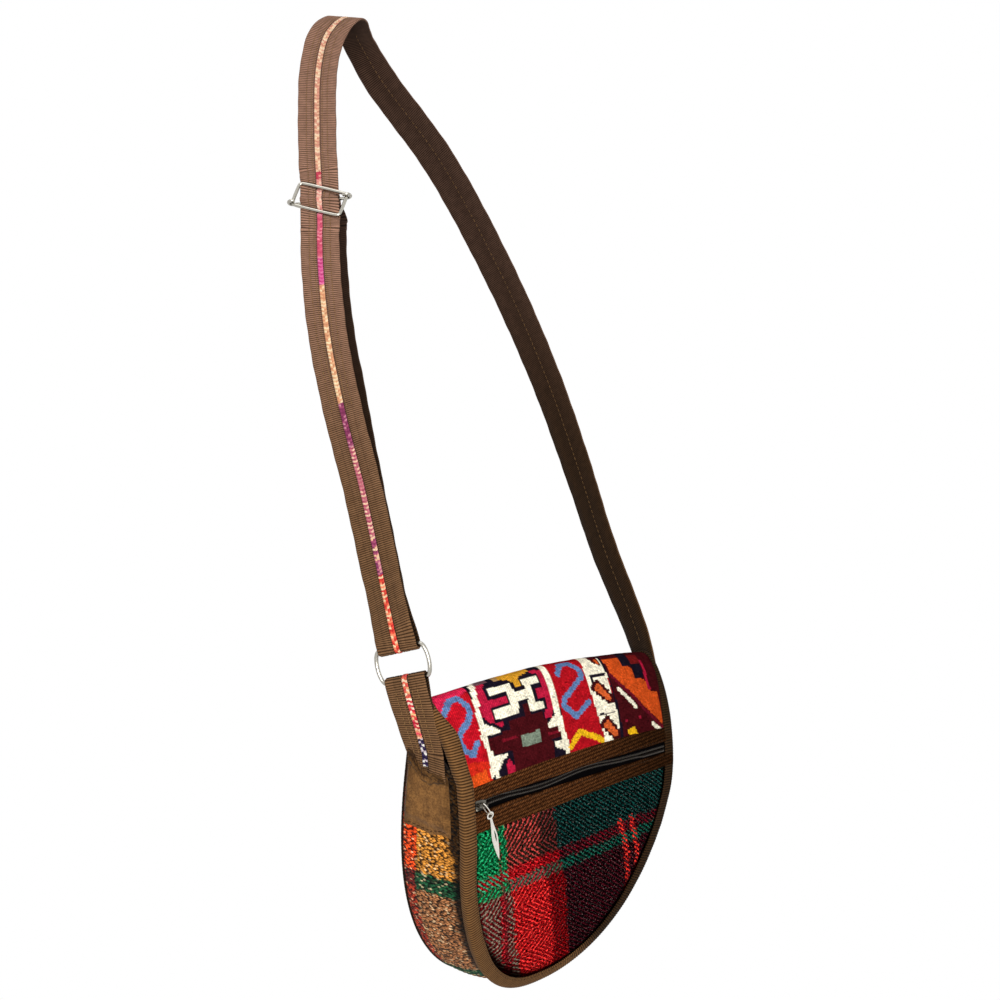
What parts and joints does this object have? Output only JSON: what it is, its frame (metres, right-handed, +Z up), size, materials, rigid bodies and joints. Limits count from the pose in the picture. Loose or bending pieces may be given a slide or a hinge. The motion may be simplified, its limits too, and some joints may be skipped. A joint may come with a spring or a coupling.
{
  "type": "crossbody bag",
  "caption": "Crossbody bag with a round kilim and plaid flap, a zipped flap pocket, wool gusset, suede patches and an adjustable webbing strap hung from a shoulder.",
  "frame": {"origin": "underside of the strap at its highest point, where it lies on the shoulder", "axes": "+Z up, -Y out of the flap face, +X to the viewer's right when facing the flap"},
  "size_m": [0.2694, 0.4013, 0.6975],
  "materials": {
    "brown_twill": "matte twill",
    "wool_plaid": "brushed wool",
    "dark_tape": "matte",
    "lining_cotton": "plain cotton",
    "suede": "napped suede",
    "kilim": "flat woven wool",
    "zip_tape": "matte",
    "zip_coil": "glossy",
    "ribbed_tape": "ribbed",
    "nickel": "polished nickel plate",
    "webbing": "ribbed cotton",
    "braid": "variegated"
  },
  "bodies": {
    "bag": {"back_panel": "brown_twill", "front_panel": "brown_twill", "gusset": "wool_plaid", "back_binding": "dark_tape", "lining": "lining_cotton", "left_patch": "suede", "right_patch": "suede", "flap_backing": "lining_cotton", "kilim_panel": "kilim", "zip_strip_upper": "brown_twill", "zip_strip_lower": "brown_twill", "zip_tape_upper": "zip_tape", "zip_tape_lower": "zip_tape", "zip_coil_upper": "zip_coil", "zip_coil_lower": "zip_coil", "plaid_panel": "wool_plaid", "flap_binding": "ribbed_tape", "strap_tab": "webbing", "tab_braid": "braid", "tab_ring": "nickel", "strap": "webbing", "strap_braid": "braid", "slide_frame": "nickel", "slide_bar": "nickel"},
    "slider": {"zip_slider": "nickel"},
    "link": {"pull_link": "nickel"},
    "drop": {"pull_drop": "nickel"}
  },
  "joints": [
    {"name": "zip_slide", "type": "slide", "parent": "bag", "child": "slider", "axis": [1, 0, 0], "range_m": [0, 0.165]},
    {"name": "pull_lift", "type": "hinge", "parent": "slider", "child": "link", "pos_m": [-0.0661, -0.35175, -0.51627], "axis": [-1, 0, 0], "range_deg": [0, 95]},
    {"name": "drop_swing", "type": "hinge", "parent": "link", "child": "drop", "pos_m": [-0.06314, -0.35539, -0.52147], "axis": [0, -1, 0], "range_deg": [-60, 45]}
  ]
}
